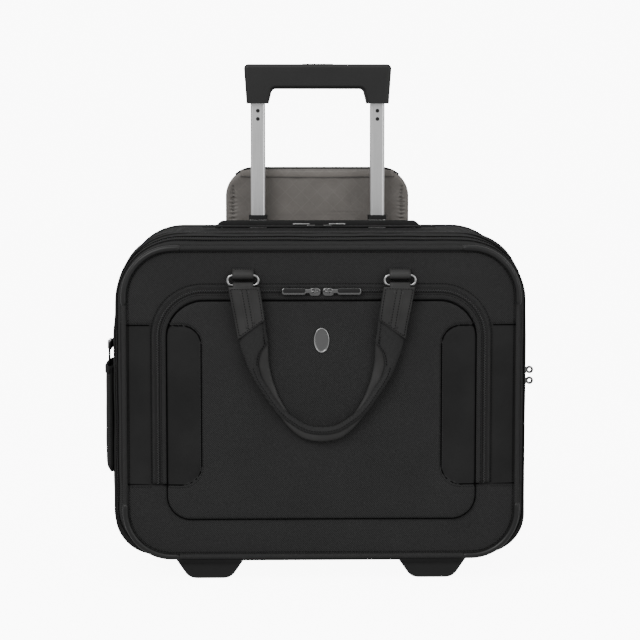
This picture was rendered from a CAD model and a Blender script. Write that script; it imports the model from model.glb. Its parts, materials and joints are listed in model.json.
import json
from math import ceil, cos, exp, pi, radians, sin, sqrt
import bmesh
import bpy
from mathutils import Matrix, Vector, noise


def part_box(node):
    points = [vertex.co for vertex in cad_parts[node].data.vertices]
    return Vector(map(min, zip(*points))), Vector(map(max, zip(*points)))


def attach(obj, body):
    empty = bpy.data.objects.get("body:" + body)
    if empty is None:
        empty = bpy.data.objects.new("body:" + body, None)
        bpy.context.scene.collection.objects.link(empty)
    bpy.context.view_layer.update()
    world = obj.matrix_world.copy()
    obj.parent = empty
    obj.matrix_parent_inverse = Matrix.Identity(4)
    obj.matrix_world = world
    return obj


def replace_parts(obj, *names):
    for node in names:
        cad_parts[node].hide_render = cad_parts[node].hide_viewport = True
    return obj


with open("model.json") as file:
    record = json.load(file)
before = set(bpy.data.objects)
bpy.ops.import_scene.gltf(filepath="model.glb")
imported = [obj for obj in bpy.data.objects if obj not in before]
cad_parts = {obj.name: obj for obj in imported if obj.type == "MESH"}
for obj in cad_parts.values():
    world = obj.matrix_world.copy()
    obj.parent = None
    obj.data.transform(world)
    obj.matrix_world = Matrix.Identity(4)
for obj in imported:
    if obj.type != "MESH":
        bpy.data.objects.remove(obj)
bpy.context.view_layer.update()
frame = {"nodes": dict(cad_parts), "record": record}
nodes = frame["nodes"]

# ------------------------------------------------------------------------------------------ materials
class Nodes:
    """Short-hand for building one material's node tree."""

    def __init__(self, name):
        self.mat = bpy.data.materials.new(name)
        self.mat.use_nodes = True
        self.tree = self.mat.node_tree
        self.tree.nodes.clear()
        self.out = self.tree.nodes.new("ShaderNodeOutputMaterial")
        self.bsdf = self.tree.nodes.new("ShaderNodeBsdfPrincipled")
        self.link(self.bsdf.outputs[0], self.out.inputs[0])
        coord = self.tree.nodes.new("ShaderNodeTexCoord")
        self.xyz = coord.outputs["Object"]

    def link(self, a, b):
        self.tree.links.new(a, b)

    def set(self, node, key, value):
        if hasattr(value, "is_output") or isinstance(value, bpy.types.NodeSocket):
            self.link(value, node.inputs[key])
        else:
            node.inputs[key].default_value = value

    def math(self, op, a, b=0.0, c=0.0):
        node = self.tree.nodes.new("ShaderNodeMath")
        node.operation = op
        for i, v in enumerate((a, b, c)):
            self.set(node, i, v)
        return node.outputs[0]

    def split(self):
        node = self.tree.nodes.new("ShaderNodeSeparateXYZ")
        self.link(self.xyz, node.inputs[0])
        return node.outputs

    def noise(self, scale, detail=3.0, rough=0.5, stretch=None, which=0):
        node = self.tree.nodes.new("ShaderNodeTexNoise")
        node.inputs["Scale"].default_value = scale
        node.inputs["Detail"].default_value = detail
        node.inputs["Roughness"].default_value = rough
        source = self.xyz
        if stretch:
            mapping = self.tree.nodes.new("ShaderNodeMapping")
            mapping.inputs["Scale"].default_value = stretch
            self.link(source, mapping.inputs["Vector"])
            source = mapping.outputs[0]
        self.link(source, node.inputs["Vector"])
        return node.outputs[which]

    def voronoi(self, scale, feature="F1"):
        node = self.tree.nodes.new("ShaderNodeTexVoronoi")
        node.feature = feature
        node.inputs["Scale"].default_value = scale
        self.link(self.xyz, node.inputs["Vector"])
        return node.outputs["Distance"]

    def remap(self, value, a, b, c, d):
        node = self.tree.nodes.new("ShaderNodeMapRange")
        node.clamp = True
        for i, v in enumerate((value, a, b, c, d)):
            self.set(node, i, v)
        return node.outputs[0]

    def mix(self, factor, a, b):
        node = self.tree.nodes.new("ShaderNodeMix")
        node.data_type = "RGBA"
        self.set(node, 0, factor)
        for key, v in ((6, a), (7, b)):
            self.set(node, key, v if isinstance(v, bpy.types.NodeSocket) else (*v, 1.0))
        return node.outputs[2]

    def bump(self, height, strength, distance, after=None):
        node = self.tree.nodes.new("ShaderNodeBump")
        node.inputs["Strength"].default_value = strength
        node.inputs["Distance"].default_value = distance
        self.link(height, node.inputs["Height"])
        if after is not None:
            self.link(after, node.inputs["Normal"])
        return node.outputs[0]

    def done(self, **values):
        for key, v in values.items():
            key = {"color": "Base Color", "rough": "Roughness", "metal": "Metallic", "normal": "Normal",
                   "sheen": "Sheen Weight", "sheen_rough": "Sheen Roughness", "spec": "Specular IOR Level",
                   "coat": "Coat Weight", "coat_rough": "Coat Roughness", "aniso": "Anisotropic"}[key]
            if key == "Base Color" and not isinstance(v, bpy.types.NodeSocket):
                v = (*v, 1.0)
            self.set(self.bsdf, key, v)
        return self.mat


def grey(value, tint=0.0):
    return (value * (1 + tint), value, value * (1 - tint))


def twill(name, base, pitch=0.0023, depth=0.00035, rough=0.75, contrast=0.5, spec=0.02):
    """Ballistic twill: ribs broken by crossing yarns, with slubs, clouding and stray bright fibres."""
    n = Nodes(name)
    x, y, z = n.split()
    across = n.math("ADD", x, n.math("MULTIPLY", y, 0.83))
    wobble = n.math("MULTIPLY", n.noise(120.0, 2.0, 0.5), 0.0009)
    run = n.math("ADD", across, wobble)
    rib = n.math("SINE", n.math("MULTIPLY", n.math("ADD", run, z), 2 * pi / pitch))
    yarn = n.math("SINE", n.math("MULTIPLY", n.math("SUBTRACT", run, z), 2 * pi / (pitch * 0.5)))
    fine = n.math("SINE", n.math("MULTIPLY", z, 2 * pi / (pitch * 0.29)))
    weave = n.math("ADD", n.math("MULTIPLY", rib, 0.5), n.math("MULTIPLY", yarn, 0.32))
    weave = n.math("ADD", weave, n.math("MULTIPLY", fine, 0.14))
    slub = n.noise(700.0, 2.0, 0.6)
    cloud = n.noise(14.0, 4.0, 0.55)
    height = n.math("ADD", weave, n.math("MULTIPLY", slub, 0.5))
    tone = n.math("ADD", n.math("MULTIPLY", weave, 0.42), n.math("MULTIPLY", slub, 0.45))
    tone = n.math("ADD", tone, n.math("MULTIPLY", cloud, 0.2))
    low, high = grey(base * (1 - contrast)), grey(base * (1 + contrast))
    color = n.mix(n.remap(tone, -0.1, 0.75, 0.0, 1.0), low, high)
    normal = n.bump(n.noise(60.0, 3.0, 0.6), 0.3, 0.0008)
    normal = n.bump(height, 0.9, depth, normal)
    return n.done(color=color, rough=n.remap(cloud, 0.3, 0.7, rough - 0.05, rough + 0.06), normal=normal,
                  sheen=0.012, sheen_rough=0.5, spec=spec)


def smooth_cloth(name, base, rough=0.62, sheen=0.01):
    """Fine plain weave, much smoother than the body cloth."""
    n = Nodes(name)
    x, y, z = n.split()
    a = n.math("SINE", n.math("MULTIPLY", n.math("ADD", x, y), 2 * pi / 0.0006))
    b = n.math("SINE", n.math("MULTIPLY", z, 2 * pi / 0.0006))
    cloud = n.noise(22.0, 3.0, 0.5)
    color = n.mix(n.remap(cloud, 0.3, 0.7, 0.0, 1.0), grey(base * 0.86), grey(base * 1.14))
    normal = n.bump(n.noise(90.0, 3.0, 0.6), 0.3, 0.0005)
    normal = n.bump(n.math("MULTIPLY", a, b), 0.5, 0.00006, normal)
    return n.done(color=color, rough=n.remap(cloud, 0.3, 0.7, rough - 0.06, rough + 0.05), normal=normal,
                  sheen=sheen, sheen_rough=0.4, spec=0.03)


def leather(name, base, rough=0.5):
    n = Nodes(name)
    grain = n.voronoi(1500.0)
    pores = n.noise(500.0, 4.0, 0.6)
    cloud = n.noise(30.0, 3.0, 0.5)
    color = n.mix(n.remap(cloud, 0.3, 0.7, 0.0, 1.0), grey(base * 0.8, 0.01), grey(base * 1.25, 0.01))
    normal = n.bump(cloud, 0.3, 0.0006)
    normal = n.bump(n.math("ADD", grain, n.math("MULTIPLY", pores, 0.6)), 0.5, 0.0001, normal)
    return n.done(color=color, rough=n.remap(pores, 0.3, 0.7, rough - 0.08, rough + 0.1), normal=normal,
                  spec=0.14)


def plastic(name, base, rough=0.42, grain=0.3, spec=0.45):
    """Moulded plastic: fine spark-eroded texture and faint flow variation."""
    n = Nodes(name)
    fine = n.noise(3200.0, 2.0, 0.5)
    cloud = n.noise(25.0, 3.0, 0.5)
    color = n.mix(n.remap(cloud, 0.3, 0.7, 0.0, 1.0), grey(base * 0.9), grey(base * 1.12))
    return n.done(color=color, rough=n.remap(fine, 0.3, 0.7, rough - 0.05, rough + 0.07),
                  normal=n.bump(fine, grain, 0.00005), spec=spec)


def metal(name, base, rough=0.3, stretch=(1, 1, 1), tint=0.0, streak=0.05):
    n = Nodes(name)
    brush = n.noise(1400.0, 3.0, 0.6, stretch)
    cloud = n.noise(20.0, 3.0, 0.5)
    color = n.mix(n.remap(brush, 0.3, 0.7, 0.0, 1.0), grey(base * (1 - streak), tint),
                  grey(base * (1 + streak), tint))
    rough_now = n.math("ADD", n.remap(brush, 0.3, 0.7, rough - 0.05, rough + 0.06),
                       n.remap(cloud, 0.3, 0.7, -0.03, 0.03))
    return n.done(color=color, rough=rough_now, metal=1.0, normal=n.bump(brush, 0.12, 0.00003))


def lining(name, base):
    """Smooth lining cloth with a faint plain diamond lattice."""
    n = Nodes(name)
    x, _, z = n.split()
    pitch = 0.018
    up = n.math("ABSOLUTE", n.math("SINE", n.math("MULTIPLY", n.math("ADD", x, z), pi / pitch)))
    down = n.math("ABSOLUTE", n.math("SINE", n.math("MULTIPLY", n.math("SUBTRACT", x, z), pi / pitch)))
    line = n.remap(n.math("MINIMUM", up, down), 0.0, 0.16, 1.0, 0.0)
    cloud = n.noise(40.0, 4.0, 0.6)
    weave = n.math("MULTIPLY", n.math("SINE", n.math("MULTIPLY", x, 2 * pi / 0.0005)),
                   n.math("SINE", n.math("MULTIPLY", z, 2 * pi / 0.0005)))
    color = n.mix(n.remap(cloud, 0.3, 0.7, 0.0, 1.0), (base * 1.02, base * 0.93, base * 0.84),
                  (base * 1.2, base * 1.09, base * 0.99))
    color = n.mix(n.math("MULTIPLY", line, 0.28), color, (base * 1.5, base * 1.38, base * 1.26))
    normal = n.bump(cloud, 0.5, 0.0012)
    normal = n.bump(line, 0.5, 0.0001, normal)
    normal = n.bump(weave, 0.4, 0.00005, normal)
    return n.done(color=color, rough=n.remap(line, 0.0, 1.0, 0.62, 0.45), normal=normal, sheen=0.3,
                  sheen_rough=0.4)


M = {
    "fabric_body": twill("body twill", 0.0255, contrast=0.62),
    "fabric_smooth": smooth_cloth("smooth cloth", 0.0165),
    "fabric_lining": lining("lining", 0.088),
    "webbing_grip": twill("strap twill", 0.026, 0.0018, 0.0002),
    "leather": leather("leather", 0.025, 0.5),
    "guard_plastic": plastic("corner guard", 0.010, 0.38, 0.1, 0.25),
    "moulded_plastic": plastic("moulded plastic", 0.0085, 0.55, spec=0.22),
    "grip_plastic": plastic("grip plastic", 0.008, 0.5, spec=0.3),
    "board": plastic("board", 0.03, 0.7),
    "zip_chain": plastic("zip nylon", 0.018, 0.36, 0.1, 0.5),
    "tube_metal": metal("satin aluminium", 0.60, 0.34, (1, 1, 0.02)),
    "ring_metal": metal("ring metal", 0.34, 0.22),
    "puller_metal": metal("dark nickel", 0.14, 0.24),
    "steel": metal("steel", 0.55, 0.25),
    "badge_metal": metal("badge metal", 0.135, 0.34),
    "thread": smooth_cloth("thread", 0.0028, 0.6),
    "fabric_facing": lining("facing", 0.11),
    "seam": smooth_cloth("seam", 0.0016, 0.9, 0.0),
    "fabric_shadow": lining("gathered lining", 0.038),
    "tyre": plastic("tyre rubber", 0.014, 0.75, 0.6, 0.3),
}


def shade(obj, slot_name):
    obj.data.materials.clear()
    obj.data.materials.append(M[slot_name])


slot_of = {s["node"]: s["material_slot"] for s in frame["record"]["subparts"]}
for name, obj in nodes.items():
    shade(obj, slot_of[name])
shade(nodes["tube_rivets"], "moulded_plastic")


# ------------------------------------------------------------------------------------------ mesh tools
MM = 0.001
Y0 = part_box("front_shell")[0][1]  # face of the front panel; depths in millimetres count back from here


def at(x, depth, z):
    """A point from millimetres: across, depth behind the front panel, height."""
    return Vector((x * MM, Y0 + depth * MM, z * MM))


def mesh_object(name, verts, faces, slot_name, body=None, smooth=True, merge=0.0):
    mesh = bpy.data.meshes.new(name)
    mesh.from_pydata([tuple(v) for v in verts], [], faces)
    if merge:
        bm = bmesh.new()
        bm.from_mesh(mesh)
        bmesh.ops.remove_doubles(bm, verts=bm.verts, dist=merge)
        bmesh.ops.recalc_face_normals(bm, faces=bm.faces)
        bm.to_mesh(mesh)
        bm.free()
    mesh.polygons.foreach_set("use_smooth", [smooth] * len(mesh.polygons))
    obj = bpy.data.objects.new(name, mesh)
    bpy.context.scene.collection.objects.link(obj)
    obj.data.materials.append(M[slot_name])
    if body:
        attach(obj, body)
    return obj


def outline(half_w, z0, z1, r_top, r_low, n_x=56, n_z=44, n_c=18):
    """Points (x, z) round a rounded rectangle, in millimetres, with the same count on each part."""
    half_w = max(half_w, 0.01)
    points = []

    def line(a, b, n):
        for i in range(n):
            t = i / n
            points.append((a[0] + (b[0] - a[0]) * t, a[1] + (b[1] - a[1]) * t))

    def arc(cx, cz, r, start, n):
        for i in range(n):
            a = start + pi / 2 * i / n
            points.append((cx + r * cos(a), cz + r * sin(a)))

    rt, rl = max(r_top, 0.0), max(r_low, 0.0)
    line((-half_w + rl, z0), (half_w - rl, z0), n_x)
    arc(half_w - rl, z0 + rl, rl, -pi / 2, n_c)
    line((half_w, z0 + rl), (half_w, z1 - rt), n_z)
    arc(half_w - rt, z1 - rt, rt, 0, n_c)
    line((half_w - rt, z1), (-half_w + rt, z1), n_x)
    arc(-half_w + rt, z1 - rt, rt, pi / 2, n_c)
    line((-half_w, z1 - rt), (-half_w, z0 + rl), n_z)
    arc(-half_w + rl, z0 + rl, rl, pi, n_c)
    return points


def inset(shape, t):
    """The outline (half width, z0, z1, top radius, low radius) moved in by t."""
    half_w, z0, z1, rt, rl = shape
    return (half_w - t, z0 + t, z1 - t, max(rt - t, 0.0), max(rl - t, 0.0))


def loft(loops, close_all=False, capped=False):
    """Quads between loops of the same count: open, closed on itself or with flat ends."""
    verts = [v for loop in loops for v in loop]
    n = len(loops[0])
    faces = []
    for k in range(len(loops) - 1):
        for i in range(n):
            j = (i + 1) % n
            faces.append((k * n + i, k * n + j, (k + 1) * n + j, (k + 1) * n + i))
    if close_all:
        k = len(loops) - 1
        for i in range(n):
            j = (i + 1) % n
            faces.append((k * n + i, k * n + j, j, i))
    if capped:
        faces.append(tuple(reversed(range(n))))
        faces.append(tuple(range((len(loops) - 1) * n, len(loops) * n)))
    return verts, faces


def panel_loops(shape, depth_at, step=2.2, stop=None):
    """Loops of a panel, from its edge to its middle. depth_at(x, z, t) gives each point's depth."""
    reach = min(shape[0], (shape[2] - shape[1]) / 2)
    stop = reach if stop is None else min(stop, reach)
    count = int(ceil(stop / step))
    loops = []
    for k in range(count + 1):
        t = stop * k / count
        loops.append([at(x, depth_at(x, z, t), z) for x, z in outline(*inset(shape, t))])
    return loops


def rounded_distance(x, z, shape):
    """How far a point is inside a rounded rectangle, in millimetres. Negative outside."""
    half_w, z0, z1, rt, rl = shape
    cz = (z0 + z1) / 2
    r = rt if z > cz else rl
    qx = abs(x) - (half_w - r)
    qz = abs(z - cz) - ((z1 - z0) / 2 - r)
    outside = sqrt(max(qx, 0) ** 2 + max(qz, 0) ** 2)
    return -(outside + min(max(qx, qz), 0.0) - r)


def groove(distance, width=1.3, depth=0.9):
    """Depth of a seam at this distance from it, in millimetres."""
    return depth * exp(-(distance / width) ** 2)


def ripple(x, y, z, scale, amount, seed=0.0):
    """Gentle unevenness of cloth, in millimetres."""
    return amount * noise.noise(Vector((x / scale + seed, y / scale - seed, z / scale + 2 * seed)))


def tube_mesh(points, radius, sides=10, closed=False, flat=1.0, up=None):
    """A round cord along points (metres). radius may be a function of the fraction along it."""
    count = len(points)
    loops = []
    normal = None
    for i, p in enumerate(points):
        a = points[(i - 1) % count] if closed or i > 0 else points[i]
        b = points[(i + 1) % count] if closed or i < count - 1 else points[i]
        way = (b - a).normalized()
        if normal is None:
            seed = Vector(up) if up else (Vector((0, 1, 0)) if abs(way.y) < 0.9 else Vector((0, 0, 1)))
            normal = (seed - way * seed.dot(way)).normalized()
        else:
            normal = (normal - way * normal.dot(way)).normalized()
        side = way.cross(normal)
        r = radius(i / max(count - 1, 1)) if callable(radius) else radius
        loops.append([p + (normal * cos(2 * pi * k / sides) * flat + side * sin(2 * pi * k / sides)) * r
                      for k in range(sides)])
    return loft(loops, close_all=closed, capped=not closed)


class Batch:
    """Collects many small meshes into one object."""

    def __init__(self):
        self.verts, self.faces = [], []

    def add(self, verts, faces):
        n = len(self.verts)
        self.verts += [Vector(v) for v in verts]
        self.faces += [tuple(i + n for i in f) for f in faces]

    def build(self, name, slot_name, body, smooth=True):
        return mesh_object(name, self.verts, self.faces, slot_name, body, smooth)


def walk(points, pitch, closed=False):
    """Evenly spaced (place, direction) along a path of points."""
    path = list(points) + ([points[0]] if closed else [])
    lengths = [(b - a).length for a, b in zip(path, path[1:])]
    total = sum(lengths)
    count = max(1, int(total / pitch))
    out, i, done = [], 0, 0.0
    for k in range(count):
        want = total * (k + 0.5) / count
        while i < len(lengths) - 1 and done + lengths[i] < want:
            done += lengths[i]
            i += 1
        t = (want - done) / max(lengths[i], 1e-9)
        out.append((path[i].lerp(path[i + 1], t), (path[i + 1] - path[i]).normalized()))
    return out


def capsule(centre, way, out, length, width, height, sides=6):
    """A small pill lying along way, with out as its upward side."""
    side = way.cross(out).normalized()
    loops = []
    for s, k in ((-0.5, 0.35), (-0.38, 0.85), (0.0, 1.0), (0.38, 0.85), (0.5, 0.35)):
        c = centre + way * length * s
        loops.append([c + side * (cos(2 * pi * i / sides) * width / 2 * k)
                      + out * (sin(2 * pi * i / sides) * height / 2 * k)
                      for i in range(sides)])
    return loft(loops, capped=True)


def stitches(batch, points, out, pitch=3.1, length=2.2, closed=False, lift=0.0):
    """A row of thread stitches along a path. out is the surface's way out, or a function of the place."""
    for place, way in walk(points, pitch * MM, closed):
        normal = out(place) if callable(out) else Vector(out)
        batch.add(*capsule(place + normal * lift * MM, way, normal, length * MM, 0.7 * MM, 0.5 * MM, 5))


def coil(batch, points, out, width=4.6, pitch=1.35, closed=False):
    """Two meshing rows of a coil zip along a path."""
    for k, (place, way) in enumerate(walk(points, pitch * MM, closed)):
        normal = out(place) if callable(out) else Vector(out)
        side = way.cross(normal).normalized()
        s = 1 if k % 2 else -1
        centre = place + side * s * width * 0.16 * MM
        batch.add(*capsule(centre, side, normal, width * 0.66 * MM, 0.95 * MM, 1.0 * MM, 6))


def ribbon(points, out, width, thickness):
    """A flat strip along a path, as (vertices, faces): closed, with soft edges."""
    loops = []
    for i, p in enumerate(points):
        a, b = points[max(i - 1, 0)], points[min(i + 1, len(points) - 1)]
        way = (b - a).normalized()
        normal = out(p) if callable(out) else Vector(out)
        side = way.cross(normal).normalized()
        ring = []
        w, h = width * MM / 2, thickness * MM / 2
        for u, v in ((-1, -0.5), (-0.94, 0.6), (-0.8, 1), (0, 1), (0.8, 1), (0.94, 0.6), (1, -0.5),
                     (0.9, -1), (0, -1), (-0.9, -1)):
            ring.append(p + side * w * u + normal * h * v)
        loops.append(ring)
    return loft(loops, capped=True)


def paint(obj, slot_name, wanted):
    """Gives the faces that pass wanted(centre, normal) another material."""
    obj.data.materials.append(M[slot_name])
    index = len(obj.data.materials) - 1
    for p in obj.data.polygons:
        if wanted(p.center, p.normal):
            p.material_index = index


def facing(middle):
    """A test for faces of a hollow shell that look towards its middle."""
    return lambda centre, normal: normal.dot((middle - centre).normalized()) > 0.05


def cut_boxes(obj, boxes):
    """Cuts boxes (millimetre corners: x, depth, z) out of a closed mesh."""
    for lo, hi in boxes:
        a, b = at(*lo), at(*hi)
        verts = [Vector((x, y, z)) for x in (a.x, b.x) for y in (a.y, b.y) for z in (a.z, b.z)]
        faces = [(0, 1, 3, 2), (4, 6, 7, 5), (0, 4, 5, 1), (2, 3, 7, 6), (0, 2, 6, 4), (1, 5, 7, 3)]
        cutter = mesh_object("cutter", verts, faces, "board", smooth=False)
        mod = obj.modifiers.new("cut", "BOOLEAN")
        mod.operation = "DIFFERENCE"
        mod.solver = "EXACT"
        mod.object = cutter
        apply_modifiers(obj)
        bpy.data.objects.remove(cutter)


def apply_modifiers(obj):
    deps = bpy.context.evaluated_depsgraph_get()
    mesh = bpy.data.meshes.new_from_object(obj.evaluated_get(deps))
    obj.modifiers.clear()
    obj.data = mesh


# ------------------------------------------------------------------------------------------ case body
FRONT = (205.0, 23.0, 348.0, 62.0, 62.0)  # the front panel's outline, as the CAD has it
BODY = (212.0, 20.0, 358.0, 60.0, 60.0)
RIM = 50.0
BACK = 210.0
WHEEL_X = 114


def body_swell(d):
    """How far the soft gusset stands out of its CAD solid at a depth, in millimetres."""
    u = (d - RIM) / (BACK - RIM)
    belly = 4.4 * sin(pi * min(max(u, 0), 1)) ** 0.6
    return belly - 0.4 * exp(-((d - RIM) / 5.0) ** 2) - 5.0 * max(0.0, (u - 0.93) / 0.07) ** 2


def sag(z):
    """How far the filled lower part bulges sideways, and the empty shoulders fall in, in millimetres."""
    low = min(max((300.0 - z) / 50.0, 0.0), 1.0)
    return 6.5 * low * low * (3 - 2 * low) - 6.0 * exp(-((z - 314.0) / 26.0) ** 2)


def body_loop(d, t=0.0, seed=0.0):
    """One outline of the body at a depth: t is how far inside the outer surface."""
    swell = body_swell(d) - t
    w, z0, z1, rt, rl = BODY
    loop = []
    shape = (w + 0.6 * swell, z0 - 1.8 - min(swell, 0.0) * 0.3 + max(t, 0), z1 - 0.8 + min(swell, 0.6),
             rt + 3.0 + swell, rl - 19.0 + swell)
    belly = sin(pi * min(max((d - RIM + 3) / (BACK - RIM), 0), 1)) ** 0.4
    for x, z in outline(*shape):
        nx, nz = x / w, (z - 189) / 169
        flat_top = exp(-((z - shape[2]) / 6.0) ** 2)
        bump = ripple(x, d, z, 42, 1.3, seed) + ripple(x, d, z, 90, 1.4, seed + 3)
        low = 1.0 - exp(-((z - z0) / 14.0) ** 2)
        k = bump * low * (1 - 0.75 * flat_top) * (0.3 if t else 1.0)
        loop.append(at(x + k * nx * 0.8 + sag(z) * belly * nx * abs(nx), d, z + k * nz * 0.5))
    return loop


def rear_depth(x, z, t):
    """The back panel: a shallow crown, tucked in at the piping."""
    edge = min(max(t, 0.0) / 30.0, 1.0)
    return BACK - 2.6 + 3.0 * edge ** 0.6 + ripple(x, 0, z, 70, 0.8, 5) * edge


def main_body():
    depths = [RIM + s for s in (0.4, 1.2, 3, 5, 8, 12, 18, 26, 36, 48, 60, 74, 88, 102, 116, 128, 138, 146,
                                151, 154, 156.2, 157.4)]
    outer = [body_loop(d) for d in depths]
    edge = (BODY[0] - 6.5, BODY[1] + 6.5, BODY[2] - 5.0, 56.0, 56.0)
    rear = panel_loops(edge, rear_depth, 4.0)
    inner_rear = [[p + Vector((0, -6 * MM, 0)) for p in loop] for loop in reversed(rear)]
    inner = [body_loop(d, 5.5) for d in reversed([max(d, RIM + 0.4) for d in depths[:-3]])]
    verts, faces = loft(outer + rear + inner_rear + inner, close_all=True)
    obj = mesh_object("body_shell", verts, faces, "fabric_body", merge=0.00002)
    lo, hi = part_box("handle_well")
    depth = lambda y: (y - Y0) / MM
    boxes = [((lo[0] / MM + 0.4, depth(lo[1]) + 0.4, 330), (hi[0] / MM - 0.4, depth(hi[1]) - 0.4, 372))]
    boxes += [((x - 22, 148, 10), (x + 22, 222, 66.5)) for x in (-WHEEL_X, WHEEL_X)]
    cut_boxes(obj, boxes)
    obj.data.polygons.foreach_set("use_smooth", [True] * len(obj.data.polygons))
    mod = obj.modifiers.new("edges", "EDGE_SPLIT")
    mod.split_angle = radians(50)
    apply_modifiers(obj)
    paint(obj, "fabric_lining", facing(at(0, 120, 189)))
    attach(obj, "case")
    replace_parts(obj, "main_shell")
    return obj


main_body()


# ------------------------------------------------------------------------------------------ front section
PANEL = (158.0, 66.0, 290.5, 38.0, 24.0)
INSERT = (101.5, 266.0)  # heights of the dark inserts
INSERT_X = 123.0  # inner edge of the pocket's dark inserts
INSERT_R = 20.0
PANEL_EDGE = 160.0  # beyond this the front panel has dark inserts of its own
ZIP_LOW = 97.0
POCKET_LOW = 102.5  # where the front pocket's zip and band run into the lower seam


def front_depth(x, z, t):
    """The front panel: taut and slightly crowned, tucked in at the piping, with sewn seams."""
    edge = min(max(t, 0.0) / 26.0, 1.0)
    crown = 1.6 * (1 - (abs(x) / 205) ** 2) * (1 - (abs(z - 185) / 163) ** 2)
    d = 1.9 - 1.9 * edge ** 0.5 - crown
    d += ripple(x, 0, z, 60, 0.8, 11) * edge + ripple(x, 0, z, 24, 0.25, 4) * edge
    if abs(x) > PANEL_EDGE:
        for level in INSERT:
            d += groove(z - level, 1.5, 1.3)
        if INSERT[0] < z < INSERT[1]:
            d += 0.5
    return d


def front_loop(d, half_w, z0, z1, r, seed=2.0, amount=1.0):
    loop = []
    rear = max(d - 4.0, 0.0)
    for x, z in outline(half_w, z0, z1, r - 5.5 + 0.32 * rear, r - 9.0 - 0.22 * rear):
        k = ripple(x, d, z, 36, 0.9 * amount, seed)
        low = 1.0 - exp(-((z - z0) / 10.0) ** 2)
        loop.append(at(x + k * low * x / 210, d, z + k * low * (z - 185) / 165))
    return loop


def front_station(d):
    """Depth, half width, lower and upper edge and corner radius of the soft front section."""
    u = d / 44.0
    swell = 2.6 * sin(pi * min(max((d - 4) / 38, 0), 1)) ** 0.7 - (1.4 if d > 43 else 0)
    half_w = 205.0 + 8.0 * u + 0.8 * swell
    low = 23.2 - 2.0 * u + (0.0 if d < 43 else 0.6)
    return d, half_w, low, 348.0 + 10.0 * u + swell * 0.3, 61 + swell + 3 * u


def front_section():
    stations = [front_station(d) for d in (43.6, 42.5, 40, 36, 31, 26, 21, 16, 11, 7, 4.0)]
    outer = [front_loop(*s) for s in stations]
    outer.append(front_loop(2.6, 201.6, 26.4, 344.0, 58.0))
    face = panel_loops((201.4, 26.6, 343.8, 52.3, 48.8), front_depth, 2.2)
    back_face = [[p + Vector((0, 6 * MM, 0)) for p in loop] for loop in face[-1:] + face[::3][::-1]]
    inner = [front_loop(d, w - 5.5, z0 + 5.5, z1 - 5.5, r - 5, amount=0.3)
             for d, w, z0, z1, r in reversed(stations[:-2])]
    verts, faces = loft(outer + face + back_face + inner, close_all=True)
    obj = mesh_object("front_section_shell", verts, faces, "fabric_body", merge=0.00002)

    def insert(c, normal):
        x, d, z = c.x / MM, (c.y - Y0) / MM, c.z / MM
        return abs(x) > PANEL_EDGE and INSERT[0] < z < INSERT[1] and d < 3.5

    paint(obj, "fabric_smooth", insert)
    paint(obj, "fabric_lining", facing(at(0, 34, 185)))
    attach(obj, "front_section")
    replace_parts(obj, "front_shell")


front_section()


def pocket_depth(x, z, t):
    """The pocket's outer panel: a padded face, sunk at its seam, with two dark inserts sewn in."""
    edge = min(max(t, 0.0) / 20.0, 1.0)
    crown = 1.8 * (1 - (abs(x) / 158) ** 2) * (1 - (abs(z - 178) / 112) ** 2)
    d = -2.2 - 1.9 * edge ** 0.45 - crown
    d += ripple(x, 0, z, 50, 0.9, 21) * edge + ripple(x, 0, z, 22, 0.3, 14) * edge
    gap = insert_distance(x, z)
    d += groove(gap, 1.6, 1.3)
    if gap > 0:
        d += 0.5
    return d


def insert_distance(x, z):
    """How far a point is inside an inner dark insert: a strip whose inner corners are round."""
    r = INSERT_R
    ax = abs(x)
    cz = (INSERT[0] + INSERT[1]) / 2
    half_h = (INSERT[1] - INSERT[0]) / 2
    qx = (INSERT_X + r) - ax
    qz = abs(z - cz) - (half_h - r)
    if qx > 0 or qz > 0:
        return r - sqrt(max(qx, 0) ** 2 + max(qz, 0) ** 2) if (qx > -r or qz > 0) else -qx
    return min(-qx, -qz) + r


def pocket():
    face = panel_loops(PANEL, pocket_depth, 2.0)
    rim = [[at(p.x / MM, 0.6, p.z / MM) for p in face[0]]]
    back = [[at(p.x / MM, 0.6, p.z / MM) for p in loop] for loop in reversed(face[::6])]
    verts, faces = loft(rim + face + back[:-1], close_all=True)
    obj = mesh_object("pocket_face", verts, faces, "fabric_body", merge=0.00002)
    paint(obj, "fabric_smooth", lambda c, normal: insert_distance(c.x / MM, c.z / MM) > 0.6 and c.y < Y0 - MM)
    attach(obj, "front_section")
    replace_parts(obj, "pocket_panel")


pocket()


# ------------------------------------------------------------------------------------------ seams and zips
MAIN_ZIP_DEPTH = 47.0
LAPTOP_ZIP_DEPTH = 111.0
FORWARD = Vector((0, -1, 0))
Z_UP = Vector((0, 0, 1))


def stretch(points_xz, depth):
    """Metre points from (x, z) millimetres. depth may be a function of x and z."""
    return [at(x, depth(x, z) if callable(depth) else depth, z) for x, z in points_xz]


def dense(points, step=3.0):
    """The same (x, z) polyline with more points."""
    out = []
    for (x0, z0), (x1, z1) in zip(points, points[1:]):
        n = max(1, int(sqrt((x1 - x0) ** 2 + (z1 - z0) ** 2) / step))
        out += [(x0 + (x1 - x0) * i / n, z0 + (z1 - z0) * i / n) for i in range(n)]
    return out + [points[-1]]


def arch_path(half_w, top, r, low, n=14):
    """(x, z) points up the left side, over the top and down the right side."""
    points = [(-half_w, low)]
    turns = [pi / 2 * i / n for i in range(n + 1)]
    points += [(-half_w + r - r * cos(a), top - r + r * sin(a)) for a in turns]
    points += [(half_w - r + r * sin(a), top - r + r * cos(a)) for a in turns]
    return dense(points + [(half_w, low)])


def ring_path(shape, n=14):
    """(x, z) points round a closed rounded rectangle."""
    return outline(*shape, n_x=60, n_z=50, n_c=n)


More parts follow.
